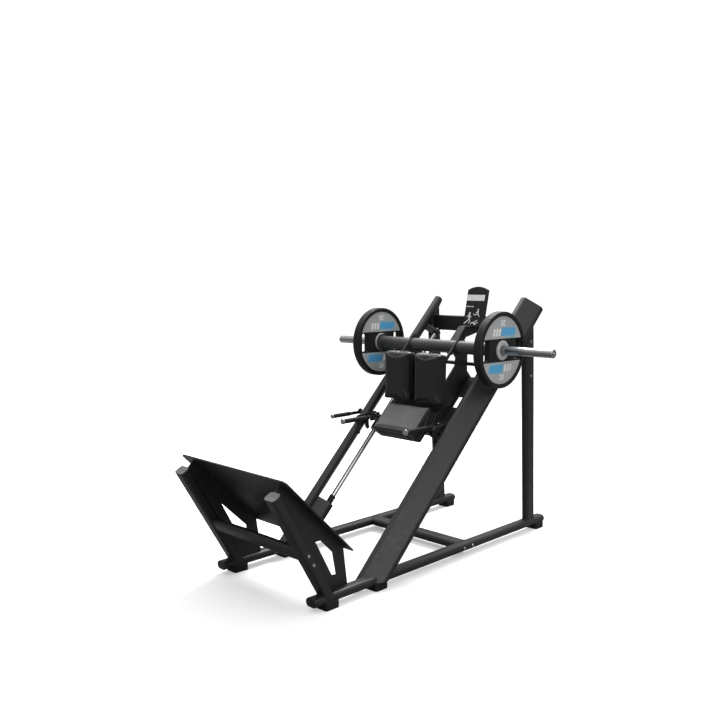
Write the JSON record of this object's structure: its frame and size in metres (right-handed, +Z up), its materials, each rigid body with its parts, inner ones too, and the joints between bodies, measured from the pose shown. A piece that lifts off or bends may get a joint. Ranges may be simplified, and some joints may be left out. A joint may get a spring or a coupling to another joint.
{
  "type": "leg press machine",
  "caption": "Plate-loaded inclined leg press with a padded carriage on two guide rods, weight horns and an angled foot plate.",
  "frame": {"origin": "on the floor, under the middle of the machine's bounding box", "axes": "+Z up, +Y from the foot plate towards the rear posts, +X to the left side of a user who stands on the foot plate with the back on the pads"},
  "size_m": [1.73, 2.3522, 1.613],
  "materials": {
    "black_powder_coat": "satin",
    "graphite_paint": "satin",
    "black_plastic": "matte",
    "black_rubber": "matte",
    "grey_cap": "satin",
    "chrome": "polished",
    "sign_plastic": "satin",
    "machined_steel": "machined",
    "bearing_polymer": "matte",
    "black_vinyl": "satin",
    "grey_vinyl": "satin",
    "plywood": "matte",
    "grey_face_paint": "satin"
  },
  "bodies": {
    "frame": {"base_rail_left": "black_powder_coat", "base_rail_right": "black_powder_coat", "rail_end_caps": "black_plastic", "rubber_feet": "black_rubber", "base_crossbar": "black_powder_coat", "foot_support_left": "black_powder_coat", "foot_support_right": "black_powder_coat", "support_caps": "grey_cap", "foot_cross_tube": "black_powder_coat", "foot_gusset_left": "black_powder_coat", "foot_gusset_right": "black_powder_coat", "foot_plate": "black_powder_coat", "foot_plate_mat": "black_rubber", "main_beam_left": "black_powder_coat", "main_beam_right": "black_powder_coat", "beam_caps": "black_plastic", "rear_post_left": "black_powder_coat", "rear_post_right": "black_powder_coat", "top_crossbeam": "black_powder_coat", "spine_tube": "black_powder_coat", "spine_bumper": "black_rubber", "guide_rod_left": "chrome", "guide_rod_right": "chrome", "rod_brackets": "black_powder_coat", "rod_bumpers": "black_rubber", "sign_board": "sign_plastic", "sign_bracket": "black_powder_coat", "frame_bolts": "chrome", "foot_plate_bolts": "black_powder_coat"},
    "carriage": {"side_plate_left": "graphite_paint", "side_plate_right": "graphite_paint", "weight_tube": "graphite_paint", "weight_horn_left": "chrome", "weight_horn_right": "chrome", "horn_end_caps": "chrome", "bearing_housings": "machined_steel", "bearing_liners": "bearing_polymer", "tie_rod": "chrome", "carriage_wings": "graphite_paint", "carriage_cross_tubes": "graphite_paint", "pad_mount_plate": "graphite_paint", "shoulder_pad_left": "black_vinyl", "shoulder_pad_right": "black_vinyl", "back_pad": "grey_vinyl", "pad_boards": "plywood", "handle_left": "graphite_paint", "handle_right": "graphite_paint", "handle_grips": "black_rubber", "handle_end_caps": "chrome", "carriage_bolts": "chrome"},
    "catch_left": {"catch_hook_left": "black_powder_coat"},
    "catch_right": {"catch_hook_right": "black_powder_coat", "release_lever": "graphite_paint", "lever_grip": "black_rubber", "lever_end_cap": "chrome"},
    "weight_plate_left": {"plate_disc_left": "black_rubber", "plate_hub_left": "grey_face_paint", "plate_segments_left": "grey_face_paint"},
    "weight_plate_right": {"plate_disc_right": "black_rubber", "plate_hub_right": "grey_face_paint", "plate_segments_right": "grey_face_paint"}
  },
  "joints": [
    {"name": "carriage_slide", "type": "slide", "parent": "frame", "child": "carriage", "axis": [0, 0.7071, 0.7071], "range_m": [-0.53, 0.055]},
    {"name": "catch_left_swing", "type": "hinge", "parent": "frame", "child": "catch_left", "pos_m": [0.316, 0.2631, 0.805], "axis": [1, 0, 0], "range_deg": [0, 20]},
    {"name": "release_lever_swing", "type": "hinge", "parent": "frame", "child": "catch_right", "pos_m": [-0.316, 0.2631, 0.805], "axis": [1, 0, 0], "range_deg": [0, 20]},
    {"name": "plate_left_slide", "type": "slide", "parent": "carriage", "child": "weight_plate_left", "axis": [1, 0, 0], "range_m": [0, 0.335]},
    {"name": "plate_right_slide", "type": "slide", "parent": "carriage", "child": "weight_plate_right", "axis": [-1, 0, 0], "range_m": [0, 0.335]}
  ],
  "couplings": [
    {"joint": "catch_left_swing", "follows": "release_lever_swing", "ratio": 1}
  ]
}
